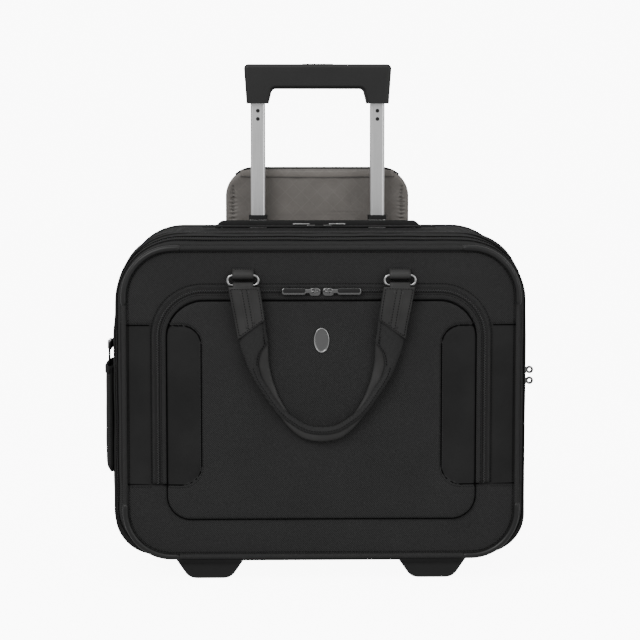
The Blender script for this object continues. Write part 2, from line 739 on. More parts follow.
def pocket_zip():
    """The front pocket's arched zip, the padded band inside it and the folded edge outside it."""
    path = arch_path(167.6, 301.4, 47.0, POCKET_LOW)
    mesh_object("pocket_zip_tape", *ribbon(stretch(path, -0.7), FORWARD, 7.0, 1.6), "fabric_smooth",
                "front_section")
    teeth = Batch()
    coil(teeth, stretch(path, -1.9), FORWARD, 2.4, 1.25)
    chain = teeth.build("pocket_zip_coil", "zip_chain", "front_section")
    band = stretch(arch_path(162.2, 295.6, 41.5, POCKET_LOW), -1.5)
    mesh_object("pocket_band", *ribbon(band, FORWARD, 6.2, 3.2), "fabric_body", "front_section")
    outer = stretch(arch_path(171.9, 305.7, 51.0, POCKET_LOW), -0.3)
    mesh_object("pocket_zip_welt", *ribbon(outer, FORWARD, 3.2, 1.9), "fabric_body", "front_section")
    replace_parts(chain, "pocket_zipper")
    rows = Batch()
    stitches(rows, stretch(arch_path(174.8, 308.6, 53.0, POCKET_LOW), -0.9), FORWARD)
    stitches(rows, stretch(arch_path(163.9, 297.4, 43.3, POCKET_LOW), -3.15), FORWARD)
    rows.build("pocket_zip_stitches", "thread", "front_section")


def insert_edge(side, x, r, grow, n):
    """(x, z) points round one of the pocket's dark inserts, from its lower outer corner to its upper one."""
    low, high = INSERT[0] - grow, INSERT[1] + grow
    turns = [pi / 2 * i / n for i in range(n + 1)]
    points = [(157.0, low)]
    points += [(x + r - r * sin(a), low + r - r * cos(a)) for a in turns]
    points += [(x + r - r * cos(a), high - r + r * sin(a)) for a in turns]
    return dense([(side * x, z) for x, z in points + [(157.0, high)]])


def seam_rows():
    """Top-stitching on the front section: pocket edge, inserts and panel border."""
    rows = Batch()
    face = lambda x, z: pocket_depth(x, z, rounded_distance(x, z, PANEL)) - 0.05
    panel = lambda x, z: front_depth(x, z, rounded_distance(x, z, FRONT)) - 0.05
    for side in (-1, 1):
        stitches(rows, stretch(insert_edge(side, INSERT_X - 1.6, INSERT_R + 1.5, 2.6, 10), face), FORWARD)
        for level in (INSERT[0] - 2.4, INSERT[1] + 2.4):
            stitches(rows, stretch(dense([(side * 174, level), (side * 199, level)]), panel), FORWARD)
    rows.build("front_stitches", "fabric_smooth", "front_section")
    folds = Batch()

    def fold(points, depth, closed=False, radius=0.75):
        folds.add(*tube_mesh(stretch(points, depth), radius * MM, 6, closed=closed))

    for side in (-1, 1):
        fold(insert_edge(side, INSERT_X, INSERT_R, 0.0, 12), lambda x, z: face(x, z) + 0.05)
        for level, start in ((INSERT[0], 159.5), (INSERT[1], 176.0)):
            fold(dense([(side * start, level), (side * 201.5, level)]), lambda x, z: panel(x, z) - 0.1)
    fold(ring_path(inset(PANEL, -0.4)), -1.2, closed=True, radius=1.0)
    fold(ring_path((202.4, 25.6, 344.4, 47.6, 44.0)), 0.6, closed=True, radius=1.1)
    folds.build("front_seam_folds", "seam", "front_section")


def gusset_out(p):
    """Outward direction on the gusset at a place."""
    x, z = p.x / MM, p.z / MM
    w, z0, z1, r = BODY[:4]
    cx = max(min(x, w - r), -(w - r))
    cz = max(min(z, z1 - r), z0 + r)
    v = Vector((x - cx, 0, z - cz))
    return v.normalized() if v.length > 1e-6 else Vector((0, 0, 1))


def raised(d, lift):
    """The front section's outline at a depth, moved out by a little."""
    d, half_w, z0, z1, r = front_station(d)
    return d, half_w + lift, z0 - lift, z1 + lift, r + lift


def main_zip():
    """The double-row main zip round the parting, with its tape, and the body's bound edge behind it."""
    path = arch_path(212.4, 358.0, 68.0, ZIP_LOW)
    mesh_object("main_zip_tape", *ribbon(stretch(path, MAIN_ZIP_DEPTH), gusset_out, 8.6, 1.6),
                "fabric_smooth", "case")
    teeth = Batch()
    coil(teeth, stretch(arch_path(213.1, 358.7, 68.7, ZIP_LOW), MAIN_ZIP_DEPTH), gusset_out, 4.4)
    chain = teeth.build("main_zip_coil", "zip_chain", "case")
    mesh_object("body_edge_piping", *tube_mesh(body_loop(52.4, 0.2), 1.7 * MM, 8, closed=True),
                "fabric_smooth", "case")
    mesh_object("rear_piping", *tube_mesh(body_loop(203.6, 0.4), 2.3 * MM, 10, closed=True),
                "fabric_smooth", "case")
    low_part = ring_path((213.0, 22.6, 358.4, 60.6, 52.0))
    low_part = [p for p in low_part if p[1] < ZIP_LOW + 2.0]
    start = max(range(len(low_part)), key=lambda i: low_part[i][1] - (0.0 if low_part[i][0] < 0 else 999.0))
    low_part = low_part[start:] + low_part[:start]
    mesh_object("hinge_gusset", *ribbon(stretch(low_part, MAIN_ZIP_DEPTH), gusset_out, 8.4, 1.4),
                "fabric_body", "case")
    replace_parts(chain, "zipper_chains")


def small_zips():
    """The laptop compartment's zip along the top, and the short one over the side pocket."""
    low, high = -125.0, 125.0
    across = [low + (high - low) * i / 60 for i in range(61)]
    tape = [at(x, LAPTOP_ZIP_DEPTH, 361.7) for x in across]
    mesh_object("laptop_zip_tape", *ribbon(tape, (0, 0, 1), 9.0, 1.5), "fabric_smooth", "case")
    more = Batch()
    coil(more, [at(x, LAPTOP_ZIP_DEPTH, 362.2) for x in across], Vector((0, 0, 1)), 4.2)
    side = [at(-222.6, 62 + 86 * i / 30, 238.0) for i in range(31)]
    coil(more, side, Vector((-1, 0, 0)), 4.2)
    more.build("small_zip_coils", "zip_chain", "case")
    mesh_object("side_zip_tape", *ribbon([p + Vector((0.0011, 0, 0)) for p in side], (-1, 0, 0), 9.0, 1.6),
                "fabric_smooth", "case")


def body_rows():
    """Top-stitching round the body, left out where it would cross the handle well."""
    rows = Batch()
    stitches(rows, body_loop(56.4, -0.15), gusset_out, closed=True)
    well_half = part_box("handle_well")[1][0] + 2 * MM
    row = body_loop(196.0, -0.15)
    over_well = [abs(p.x) < well_half and p.z > 0.33 for p in row]
    start = next(i for i in range(len(row)) if over_well[i - 1] and not over_well[i])
    row = [row[(start + i) % len(row)] for i in range(len(row)) if not over_well[(start + i) % len(row)]]
    stitches(rows, row, gusset_out)
    rows.build("body_stitches", "thread", "case")


def gusset_seam():
    """A bound seam round the front section's gusset, with a row of stitches on each side."""
    rows = Batch()
    for d in (13.0, 23.5):
        stitches(rows, front_loop(*raised(d, 0.5)), gusset_out, 2.4, 1.5, closed=True)
    rows.build("gusset_stitches", "zip_chain", "front_section")
    binding = front_loop(*raised(18.3, 0.1))
    mesh_object("gusset_binding", *ribbon(binding + binding[:1], gusset_out, 12.5, 1.0), "fabric_smooth",
                "front_section")
    mesh_object("gusset_cord", *tube_mesh(front_loop(*raised(26.5, 0.2)), 0.9 * MM, 6, closed=True), "seam",
                "front_section")


def piping():
    """Twill-covered cord round the front panel, with smooth guards over its four corners."""
    lo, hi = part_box("front_piping")
    w, low, top = hi[0] / MM - 2.6, lo[2] / MM + 2.4, hi[2] / MM - 2.6
    bends = {1: 50.0, -1: 47.5}  # upper corners, lower corners
    path = ring_path((w, low, top, bends[1], bends[-1]), 16)
    cord = mesh_object("front_piping_cord", *tube_mesh([at(x, 0.0, z) for x, z in path], 2.5 * MM, 14,
                                                       closed=True),
                       "webbing_grip", "front_section")
    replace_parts(cord, "front_piping")
    flange = Batch()
    ring = ring_path(inset((w, low, top, bends[1], bends[-1]), 4.4), 16)
    stitches(flange, [at(x, 1.1, z) for x, z in ring], FORWARD, closed=True)
    flange.build("piping_stitches", "thread", "front_section")
    guards = Batch()
    for sx in (-1, 1):
        for sz in (-1, 1):
            bend = bends[sz]
            cx = sx * (w - bend)
            cz = top - bend if sz > 0 else low + bend
            reach = 8.0
            pts = [(cx + sx * bend, cz - sz * (reach - reach * i / 3)) for i in range(3)]
            pts += [(cx + sx * bend * cos(pi / 2 * i / 22), cz + sz * bend * sin(pi / 2 * i / 22))
                    for i in range(23)]
            pts += [(cx - sx * reach * (i + 1) / 3, cz + sz * bend) for i in range(3)]
            end = lambda t: (3.15 - 0.7 * max(0.0, (abs(t - 0.5) - 0.485) / 0.015) ** 2) * MM
            guards.add(*tube_mesh([at(x, 0.0, z) for x, z in pts], end, 16))
    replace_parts(guards.build("corner_guard_mouldings", "guard_plastic", "front_section"), "corner_guards")


pocket_zip()
seam_rows()
main_zip()
small_zips()
body_rows()
gusset_seam()
piping()


# ------------------------------------------------------------------------------------------ carry handle
# Edges of each layer of the handle as (across, below the ring's lower bar), outer edge then inner edge.
# Most of these numbers were made by a scratch program from points read off the photograph (see report.md).
STRAP = [((85.0, 50.0), (58.6, 26.0)), ((82.9, 60.8), (56.3, 47.5)), ((80.9, 67.9), (54.9, 58.7)),
         ((78.3, 75.1), (61.4, 67.9)), ((75.8, 82.3), (64.3, 78.2)), ((72.2, 90.4), (63.2, 87.4)),
         ((67.6, 98.6), (60.2, 95.6)), ((58.4, 113.0), (51.7, 108.3)), ((49.1, 126.3), (43.5, 120.6)),
         ((39.9, 136.0), (34.8, 129.8)), ((30.7, 142.6), (26.6, 136.0)), ((20.5, 149.0), (17.4, 141.8)),
         ((10.2, 152.2), (8.7, 144.5)), ((0.0, 152.9), (0.0, 145.0))]
FOLD = [((63.0, 62.9), (54.7, 57.2)), ((66.0, 74.1), (54.1, 70.0)), ((66.3, 82.3), (53.2, 82.3)),
        ((62.4, 96.6), (50.0, 96.6)), ((57.8, 105.8), (47.1, 104.8)), ((53.2, 113.0), (44.0, 113.0)),
        ((46.0, 121.1), (39.4, 121.6)), ((37.8, 130.9), (33.3, 131.4)), ((31.7, 136.5), (29.7, 136.0))]
UNDER = [((43.0, 129.4), (43.0, 133.5)), ((33.8, 136.5), (33.8, 145.2)), ((20.5, 145.0), (22.0, 155.3)),
         ((10.2, 148.2), (10.7, 159.2)), ((0.0, 148.9), (0.0, 160.2))]
END = [((95.2, 1.6), (62.9, 1.6)), ((91.8, 19.8), (60.9, 13.2)), ((88.4, 37.2), (59.4, 23.9)),
       ((85.4, 54.6), (58.0, 34.7))]
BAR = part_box("handle_rings")[0][2] / MM + 1.3
ARM_X = 80.0
END_DEPTH = -11.2
END_THICK = 8.0


def smoothed(points, n=6):
    """A Catmull-Rom curve through tuples of numbers."""
    out = []
    for i in range(len(points) - 1):
        p0, p1, p2, p3 = points[max(i - 1, 0)], points[i], points[i + 1], points[min(i + 2, len(points) - 1)]
        for k in range(n):
            t = k / n
            out.append(tuple(0.5 * (2 * b + (c - a) * t + (2 * a - 5 * b + 4 * c - d) * t * t
                                    + (3 * b - a - 3 * c + d) * t ** 3)
                             for a, b, c, d in zip(p0, p1, p2, p3)))
    return out + [points[-1]]


def layer(pairs, side=None):
    """Smoothed (outer x, outer z, inner x, inner z) stations of one arm, or of both joined at the bottom."""
    flat = [(a[0], BAR - a[1], b[0], BAR - b[1]) for a, b in pairs]
    if side is None:
        flat = [(-a, b, -c, d) for a, b, c, d in flat] + list(reversed(flat[:-1]))
    else:
        flat = [(side * a, b, side * c, d) for a, b, c, d in flat]
    return smoothed(flat)


ROUND = [(cos(2 * pi * i / 20), sin(2 * pi * i / 20)) for i in range(20)]
FLAT = [(-1, 0.0), (-0.98, 0.7), (-0.92, 0.98), (-0.45, 1.05), (0, 1.07), (0.45, 1.05), (0.92, 0.98),
        (0.98, 0.7), (1, 0.0),
        (0.98, -0.7), (0.92, -1.0), (0, -1.0), (-0.92, -1.0), (-0.98, -0.7)]


def layer_mesh(stations, section, thick, depth):
    """A closed strip between the two edges. thick and depth may be functions of the fraction along it."""
    loops = []
    for i, (ax, az, bx, bz) in enumerate(stations):
        s = i / (len(stations) - 1)
        h = (thick(s) if callable(thick) else thick) / 2
        d = depth(s) if callable(depth) else depth
        cx, cz = (ax + bx) / 2, (az + bz) / 2
        hx, hz = (ax - bx) / 2, (az - bz) / 2
        loops.append([at(cx + hx * u, d - h * v, cz + hz * u) for u, v in section])
    return loft(loops, capped=True)


def along(stations, share, depth):
    """A path that stays at one share of the way from the inner edge (-1) to the outer edge (+1)."""
    return [at((ax + bx) / 2 + (ax - bx) / 2 * share, depth, (az + bz) / 2 + (az - bz) / 2 * share)
            for ax, az, bx, bz in stations]


def carry_handle():
    strap = layer(STRAP)
    bottom = lambda s: 1.0 - abs(2 * s - 1)
    grip = Batch()
    grip.add(*layer_mesh(strap, ROUND, lambda s: 5.6 + 3.4 * min(bottom(s) * 2.4, 1.0),
                         lambda s: -11.2 - 0.6 * min(bottom(s) * 2, 1)))
    obj = grip.build("handle_grip", "webbing_grip", "carry_handle")
    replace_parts(obj, "handle_strap")
    folds, tabs, rows, marks = Batch(), Batch(), Batch(), Batch()
    for side in (-1, 1):
        folds.add(*layer_mesh(layer(FOLD, side), ROUND, 5.0, -9.4))
        end = layer(END, side)
        tabs.add(*layer_mesh(end, FLAT, END_THICK, END_DEPTH))
        loop_tab(tabs, side)
        front = END_DEPTH - 1.07 * END_THICK / 2
        for share in (-0.86, 0.86, -0.14, 0.16):
            stitches(rows, along(end[1:-1], share, front), FORWARD, 2.7, 1.8)
        for k in (1, -2):
            ax, az, bx, bz = end[k]
            across = [at(ax + (bx - ax) * u, front, az + (bz - az) * u) for u in (0.08, 0.3, 0.5, 0.7, 0.92)]
            stitches(rows, across, FORWARD, 2.7, 1.8)
        for share in (-0.30, 0.30):
            marks.add(*ribbon(along(end[2:-2], share * 0.9, front + 0.1), FORWARD, 2.0, 0.5))
        arm_edge = layer(STRAP[:3], side)
        stitches(rows, along(arm_edge, -0.8, -14.1), FORWARD, 2.7, 1.8)
    under = layer_mesh(layer(UNDER), ROUND, 6.6, -10.2)
    fold = folds.build("handle_inner_fold", "leather", "carry_handle")
    low = mesh_object("handle_under_fold", *under, "leather", "carry_handle")
    marks.build("handle_end_ridges", "leather", "carry_handle")
    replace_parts(tabs.build("handle_leather_ends", "leather", "carry_handle"), "handle_ends")
    stitches(rows, along(strap[26:-26], 0.1, -16.3), FORWARD, 2.8, 1.9)
    for part in (strap[7:27], strap[-27:-7]):
        stitches(rows, along(part, -0.72, -14.9), FORWARD, 2.8, 1.9)
    rows.build("handle_stitches", "thread", "carry_handle")


def strip_profile(profile, x0, x1, n=8):
    """A strip extruded across x from a closed (depth, z) profile, with softly rounded side edges."""
    loops = []
    cy = sum(p[0] for p in profile) / len(profile)
    cz = sum(p[1] for p in profile) / len(profile)
    for i in range(n + 1):
        u = i / n
        x = x0 + (x1 - x0) * u
        k = 1.0 - 0.05 * max(0.0, abs(u - 0.5) * 2 - 0.86) / 0.14
        loops.append([at(x, cy + (d - cy) * k, cz + (z - cz) * k) for d, z in profile])
    return loft(loops, capped=True)


def wrap_profile(cz, radius, tail_depth0, tail_depth1, tail_z):
    """(depth, z) profile of leather folded round a bar at depth -6 with its tail going to tail_z."""
    pts = []
    n = 16
    up = tail_z > cz
    s = 1 if up else -1
    for i in range(n + 1):
        a = pi * i / n
        pts.append((-6.0 - radius * cos(a), cz - s * radius * sin(a)))
    pts.append((tail_depth1, cz + s * 3.0))
    pts.append((tail_depth1, tail_z))
    pts.append((tail_depth0, tail_z))
    pts.append((tail_depth0, cz + s * 3.0))
    return pts


def loop_tab(batch, side):
    """The narrow leather loop round the ring's lower bar, which runs into the handle's end."""
    x = side * ARM_X
    batch.add(*strip_profile(wrap_profile(BAR, 3.0, -12.2, -7.6, BAR - 11.0), x - 10.4, x + 10.4))


def ring_tabs():
    """The two leather loops that hold the rings to the panel, each stitched down in a small square."""
    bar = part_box("handle_rings")[1][2] / MM - 1.3
    tabs, rows = Batch(), Batch()
    for side in (-1, 1):
        x = side * ARM_X
        shape = [(0.5, bar + 7.0), (-2.2, bar + 6.6), (-4.6, bar + 5.4), (-7.2, bar + 4.1),
                 (-9.0, bar + 2.4), (-9.8, bar),
                 (-9.2, bar - 2.3), (-7.4, bar - 3.7), (-4.8, bar - 4.1), (-2.0, bar - 4.2), (0.5, bar - 4.2)]
        tabs.add(*strip_profile(shape, x - 10.8, x + 10.8))
        stitches(rows, [at(x + u, -3.3, bar + 6.2) for u in (-9, -4, 0, 4, 9)], Vector((0, -0.8, 0.6)), 2.4,
                 1.6)
    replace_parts(tabs.build("ring_leather_tabs", "leather", "front_section"), "ring_tabs")
    rows.build("ring_tab_stitches", "thread", "front_section")


carry_handle()
ring_tabs()


# ---------------------------------------------------------------------------------- stow flap, lip, pocket
def flap():
    """The stow flap: a dark shell bound at the top, with gathered lining and a facing band inside."""
    lo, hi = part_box("flap_shell")
    w, z0, z1 = hi[0] / MM, lo[2] / MM, hi[2] / MM
    shape = (w, z0 - 40, z1, 32.0, 10.0)
    counts = {"n_x": 50, "n_z": 90, "n_c": 18}

    def skin(insets, depth_of):
        loops = []
        for t in insets:
            points = outline(*inset(shape, t), **counts)
            loops.append([at(x, depth_of(x, max(z, z0 + 0.2), t), max(z, z0 + 0.2)) for x, z in points])
        verts, faces = loft(loops)
        faces.append(tuple(range((len(loops) - 1) * len(loops[0]), len(loops) * len(loops[0]))))
        return verts, faces

    def lining_depth(x, z, t):
        soft = min(t / 9.0, 1.0)
        d = 206.6 - 2.0 * min(t / 4.0, 1.0) ** 0.6 + ripple(x, 0, z, 17, 0.9, 31) * soft
        fade = min(max((z1 - 16.0 - z) / 8.0, 0.0), 1.0)
        seam = exp(-((abs(x) - (w - 8.5)) / 3.0) ** 2) * fade
        return d + seam * (0.9 + 0.55 * sin(2 * pi * z / 4.4 + 2.0 * noise.noise(Vector((x, z, 0)) * 0.1)))

    verts, faces = skin([0.5, 1.2, 2.2, 3.4, 4.6, 5.8, 7, 8.2, 9.4, 10.8, 12.4, 15, 20, 26, 33, 41, 49],
                        lining_depth)
    cloth = mesh_object("flap_lining_cloth", verts, faces, "fabric_lining", "flap", merge=0.00001)
    cloth.data.flip_normals()
    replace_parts(cloth, "flap_lining")
    verts, faces = skin([0.6, 2, 4, 8, 14, 22, 32, 42, 50],
                        lambda x, z, t: 207.4 + 2.6 * min(t / 9, 1.0) ** 0.6 + ripple(x, 0, z, 40, 0.6,
                            8) * min(t / 9, 1.0))
    cover = mesh_object("flap_cover", verts, faces, "fabric_body", "flap", merge=0.00001)
    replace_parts(cover, "flap_shell")
    top = [(x, z) for x, z in outline(*inset(shape, 0.7), **counts) if z > z1 - 9.0]
    top.sort()
    mesh_object("flap_binding", *tube_mesh([at(x, 207.1, z) for x, z in top], 1.7 * MM, 10),
                "fabric_smooth", "flap")
    band = []
    for i in range(41):
        x = -w + 17 + (2 * w - 34) * i / 40
        band.append(at(x, 204.3, z1 - 5.6 - 1.6 * (1 - (x / w) ** 2)))
    mesh_object("flap_facing", *ribbon(band, FORWARD, 6.8, 0.8), "fabric_facing", "flap")
    under = [p + Vector((0, -0.0001, -0.0039)) for p in band]
    mesh_object("flap_facing_seam", *ribbon(under, FORWARD, 1.0, 0.6), "fabric_shadow", "flap")
    rows = Batch()
    for side in (-1, 1):
        for k in range(11):
            z = z0 + 3 + 3.9 * k
            centre = at(side * (w - 8.5 + ripple(k, 0, 0, 3, 0.9, 2)), 204.6, z)
            rows.add(*capsule(centre, Vector((0.8, 0, 0.25 * side)).normalized(), FORWARD, 3.4 * MM,
                              0.9 * MM, 0.7 * MM, 6))
    rows.build("flap_gather", "fabric_shadow", "flap")


def lip():
    """The padded, bound edge in front of the handle well, with turned-down ends."""
    lo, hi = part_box("well_lip")
    w, z1 = min(hi[0] / MM, 113.0), hi[2] / MM
    middle = ((lo[1] + hi[1]) / 2 - Y0) / MM
    path = []
    for i in range(81):
        u = -1 + 2 * i / 80
        drop = 7.0 * max(0.0, (abs(u) - 0.93) / 0.07) ** 1.4
        path.append(at(u * w, middle, z1 - 1.2 - drop))
    pad = mesh_object("well_lip_pad", *ribbon(path, Z_UP, 9.0, 7.0), "fabric_smooth", "case")
    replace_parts(pad, "well_lip")
    rows = Batch()
    stitches(rows, [p + Vector((0, -2.8 * MM, 3.5 * MM)) for p in path[6:-6]], Z_UP)
    rows.build("lip_stitches", "thread", "case")


def side_pocket():
    """The slip pocket on the left side: an open-topped pouch with a turned hem."""
    lo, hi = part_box("side_pocket")
    x_out, x_in = lo[0] / MM - 4.6, hi[0] / MM - 4.6
    d0, d1 = (lo[1] - Y0) / MM, (hi[1] - Y0) / MM
    z0, z1 = lo[2] / MM, hi[2] / MM - 14.0
    mid, half = (d0 + d1) / 2, (d1 - d0) / 2

    def loop(z, out, squeeze, wall):
        pts = []
        for i in range(25):
            u = -1 + 2 * i / 24
            d = mid + u * (half - squeeze - wall)
            bulge = (1 - abs(u) ** 3.2) ** 0.55 if abs(u) < 1 else 0.0
            pts.append(at(x_in - 5.0 - (out - wall) * bulge + ripple(d, z, 0, 26, 0.7, 3) * bulge, d, z))
        for i in range(23):
            u = 1 - 2 * (i + 1) / 24
            pts.append(at(x_in - 5.0 + 3.0 - wall * 0.5, mid + u * (half - squeeze - wall), z))
        return pts

    outer = []
    for i in range(27):
        v = i / 26
        z = z0 + (z1 - z0) * v
        low = (1 - (1 - min(v / 0.12, 1)) ** 2) ** 0.5
        out = (x_in - 5.0 - x_out) * (0.25 + 0.75 * low) * (1 - 0.12 * v ** 2)
        outer.append(loop(z, out, 4.0 * (1 - low), 0.0))
    inner = [loop(z0 + (z1 - z0) * v, (x_in - 5.0 - x_out) * 0.88, 0.0, 1.6)
             for v in (1.0, 0.75, 0.5, 0.25, 0.06)]
    verts, faces = loft(outer + inner, capped=True)
    pouch = mesh_object("side_pouch", verts, faces, "fabric_body", "case")
    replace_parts(pouch, "side_pocket")
    hem = [p + Vector((-0.0004, 0, -0.004)) for p in outer[-1][:25]]
    mesh_object("side_pouch_hem", *ribbon(hem, Vector((-1, 0, 0)), 8.0, 1.4), "fabric_smooth", "case")


def sleeve():
    """The padded laptop sleeve inside, lined and open at the top."""
    lo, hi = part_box("laptop_sleeve")
    x1, z0, z1 = hi[0] / MM, lo[2] / MM, hi[2] / MM
    d0, d1 = (lo[1] - Y0) / MM, (hi[1] - Y0) / MM
    loops = []

    def ring(z, w, a, b):
        r = min((b - a) / 2 * 0.9, 6)
        pts = []
        for cx, cd, s in ((w - r, a + r, -pi / 2), (w - r, b - r, 0), (-w + r, b - r, pi / 2),
                          (-w + r, a + r, pi)):
            for i in range(6):
                t = s + pi / 2 * i / 5
                pts.append((cx + r * cos(t), cd + r * sin(t)))
        return [at(x, d, z) for x, d in pts]

    for v in (0.0, 0.01, 0.04, 0.2, 0.4, 0.6, 0.8, 0.95, 0.99, 1.0):
        tuck = 3.0 * (1 - min(v / 0.04, 1)) + 1.2 * max(0, (v - 0.97) / 0.03)
        loops.append(ring(z0 + (z1 - z0) * v, x1 - tuck, d0 + tuck * 0.6, d1 - tuck * 0.3))
    for v in (1.0, 0.97, 0.6, 0.06):
        loops.append(ring(z0 + (z1 - z0) * v, x1 - 7.4, d0 + 5.6, d1 - 5.4))
    verts, faces = loft(loops, capped=True)
    pad = mesh_object("sleeve_padding", verts, faces, "fabric_lining", "case")
    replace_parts(pad, "laptop_sleeve")


flap()
lip()
side_pocket()
sleeve()


# ------------------------------------------------------------------------------------------ hardware
def plate(batch, centre, across, along, half_a, half_b, radius, thick, bevel=0.4, n=6, hole=None):
    """A rounded-rectangle plate in millimetres, softly bevelled, with its thickness outwards."""
    out = across.cross(along).normalized()

    def ring(ha, hb, r, h):
        pts = []
        for ca, cb, start in ((ha - r, hb - r, 0), (-ha + r, hb - r, pi / 2), (-ha + r, -hb + r, pi),
                              (ha - r, -hb + r, 3 * pi / 2)):
            for i in range(n + 1):
                a = start + pi / 2 * i / n
                pts.append(centre + (across * (ca + r * cos(a)) + along * (cb + r * sin(a)) + out * h) * MM)
        return pts

    h = thick / 2
    r = min(radius, half_a, half_b) - 0.001
    small = max(r - bevel, 0.05)
    levels = [(half_a - bevel, half_b - bevel, small, -h), (half_a - bevel * 0.3, half_b - bevel * 0.3,
                                                            max(r - bevel * 0.3, 0.05), -h + bevel * 0.3),
              (half_a, half_b, r, -h + bevel), (half_a, half_b, r, h - bevel),
              (half_a - bevel * 0.3, half_b - bevel * 0.3, max(r - bevel * 0.3, 0.05), h - bevel * 0.3),
              (half_a - bevel, half_b - bevel, small, h)]
    loops = [ring(*level) for level in levels]
    if hole:
        ca, cb, ha, hb = hole
        hr = min(ha, hb) - 0.001

        def inner(grow, z):
            pts = []
            for sa, sb, start in ((1, 1, 0), (-1, 1, pi / 2), (-1, -1, pi), (1, -1, 3 * pi / 2)):
                for i in range(n + 1):
                    a = start + pi / 2 * i / n
                    pts.append(centre + (across * (ca + sa * (ha - hr) + (hr + grow) * cos(a))
                                         + along * (cb + sb * (hb - hr) + (hr + grow) * sin(a))
                                         + out * z) * MM)
            return pts
        loops += [inner(bevel, h), inner(0, h - bevel), inner(0, -h + bevel), inner(bevel, -h)]
    batch.add(*loft(loops, close_all=bool(hole), capped=not hole))


def lathe(profile, centre, axis, sides=64, closed=True):
    """A turned shape from (radius, along) millimetres about an axis."""
    ref = Vector((0, 0, 1)) if abs(axis.z) < 0.9 else Vector((1, 0, 0))
    u = (ref - axis * ref.dot(axis)).normalized()
    v = axis.cross(u)
    loops = []
    for r, a in profile:
        loops.append([centre + (u * cos(2 * pi * i / sides) + v * sin(2 * pi * i / sides)) * r * MM
                      + axis * a * MM for i in range(sides)])
    return loft(loops, close_all=closed)


def both_ends(half):
    """A (radius, along) profile and its mirror image."""
    return half + [(r, -a) for r, a in reversed(half)]


X, Y, Z = Vector((1, 0, 0)), Vector((0, 1, 0)), Vector((0, 0, 1))


def pocket_slider(side, name):
    """A front pocket slider with its bridge, and its pull: an eye, a bar and a moulded grip."""
    body = "pocket_slide_" + name
    part = Batch()
    x, z = side * 6.9, 300.5
    plate(part, at(x, -4.2, z), X, Z, 6.0, 4.2, 3.4, 2.0, 0.9)
    plate(part, at(x, -2.6, z), X, Z, 5.4, 3.6, 2.6, 1.4, 0.4)
    bridge = [at(x + u, -4.6 - h, z + 0.6) for u, h in ((-4.4, 0), (-4.0, 1.2), (-2.8, 2.0),
                                                        (-1.2, 2.35), (1.2, 2.35), (2.8, 2.0),
                                                        (4.0, 1.2), (4.4, 0))]
    part.add(*tube_mesh(bridge, 0.85 * MM, 8))
    slider = part.build("pocket_slider_body_" + name, "puller_metal", body)
    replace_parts(slider, "pocket_slider_" + name)
    pull = Batch()
    turns = [2 * pi * i / 18 for i in range(18)]
    eye = [at(x + side * 1.6 + 2.6 * cos(a), -6.3, z + 1.0 + 2.5 * sin(a)) for a in turns]
    pull.add(*tube_mesh(eye, 0.75 * MM, 8, closed=True))
    plate(pull, at(x + side * 7.0, -6.4, z + 1.0), X, Z, 4.2, 2.2, 1.6, 2.0, 0.8)
    plate(pull, at(x + side * 21.4, -6.2, z + 0.6), X, Z, 12.6, 3.7, 2.6, 2.8, 1.2)
    metal_part = pull.build("pocket_pull_metal_" + name, "puller_metal", "pocket_tab_" + name)
    grips = Batch()
    plate(grips, at(x + side * 21.0, -7.2, z + 1.5), X, Z, 11.4, 2.3, 1.6, 1.8, 0.7)
    grips.build("pocket_pull_grip_" + name, "moulded_plastic", "pocket_tab_" + name)
    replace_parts(metal_part, "pocket_puller_" + name)


def top_slider(side, name):
    """A slider of the laptop compartment's zip, and its pull of two links."""
    top = Batch()
    x, z = side * 9.0, 360.0
    plate(top, at(x, LAPTOP_ZIP_DEPTH, z + 1.0), X, Y, 5.6, 3.6, 2.0, 2.0, 0.6)
    plate(top, at(x, LAPTOP_ZIP_DEPTH, z + 2.8), X, Y, 5.0, 3.0, 2.0, 1.0, 0.4)
    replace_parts(top.build("top_slider_body_" + name, "puller_metal", "laptop_slide_" + name),
                "laptop_slider_" + name)
    pull = Batch()
    link, tag = (at(x + side * reach, LAPTOP_ZIP_DEPTH, z + 4.2) for reach in (5.5, 14.0))
    plate(pull, link, X, Y, 4.3, 1.7, 1.0, 1.4, 0.4, hole=(-side * 1.9, 0, 1.4, 0.8))
    plate(pull, tag, X, Y, 5.4, 2.5, 1.6, 1.7, 0.5, hole=(side * 2.6, 0, 1.2, 1.0))
    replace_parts(pull.build("top_pull_" + name, "ring_metal", "laptop_tab_" + name), "laptop_pull_" + name)


def lock_sliders():
    """The main zip's two locking sliders, each with a ring for its pull."""
    for name in ("upper", "lower"):
        lo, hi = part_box("lock_slider_" + name)
        z = (lo[2] + hi[2]) / 2 / MM
        part = Batch()
        plate(part, at(213.6, 47.3, z), Y, Z, 3.4, 5.3, 2.2, 3.4, 0.7)
        for d in (45.4, 49.2):
            plate(part, at(214.8, d, z), Z, X, 4.0, 1.6, 1.4, 1.1, 0.35)
        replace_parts(part.build("lock_slider_body_" + name, "puller_metal", "lock_slide_" + name),
                    "lock_slider_" + name)
        pull = Batch()
        r = 4.1
        rim = [(r - 1.9, -1.1), (r - 0.5, -1.15), (r, -0.6), (r, 0.6), (r - 0.5, 1.15), (r - 1.9, 1.1),
               (r - 2.5, 0.6), (r - 2.5, -0.6)]
        pull.add(*lathe(rim, at(224.0 - r, 47.4, z), Y, 36))
        plate(pull, at(216.2, 47.4, z), Z, X, 1.0, 1.2, 0.7, 2.1, 0.4)
        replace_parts(pull.build("lock_ring_" + name, "puller_metal", "lock_ring_" + name), "lock_pull_" + name)


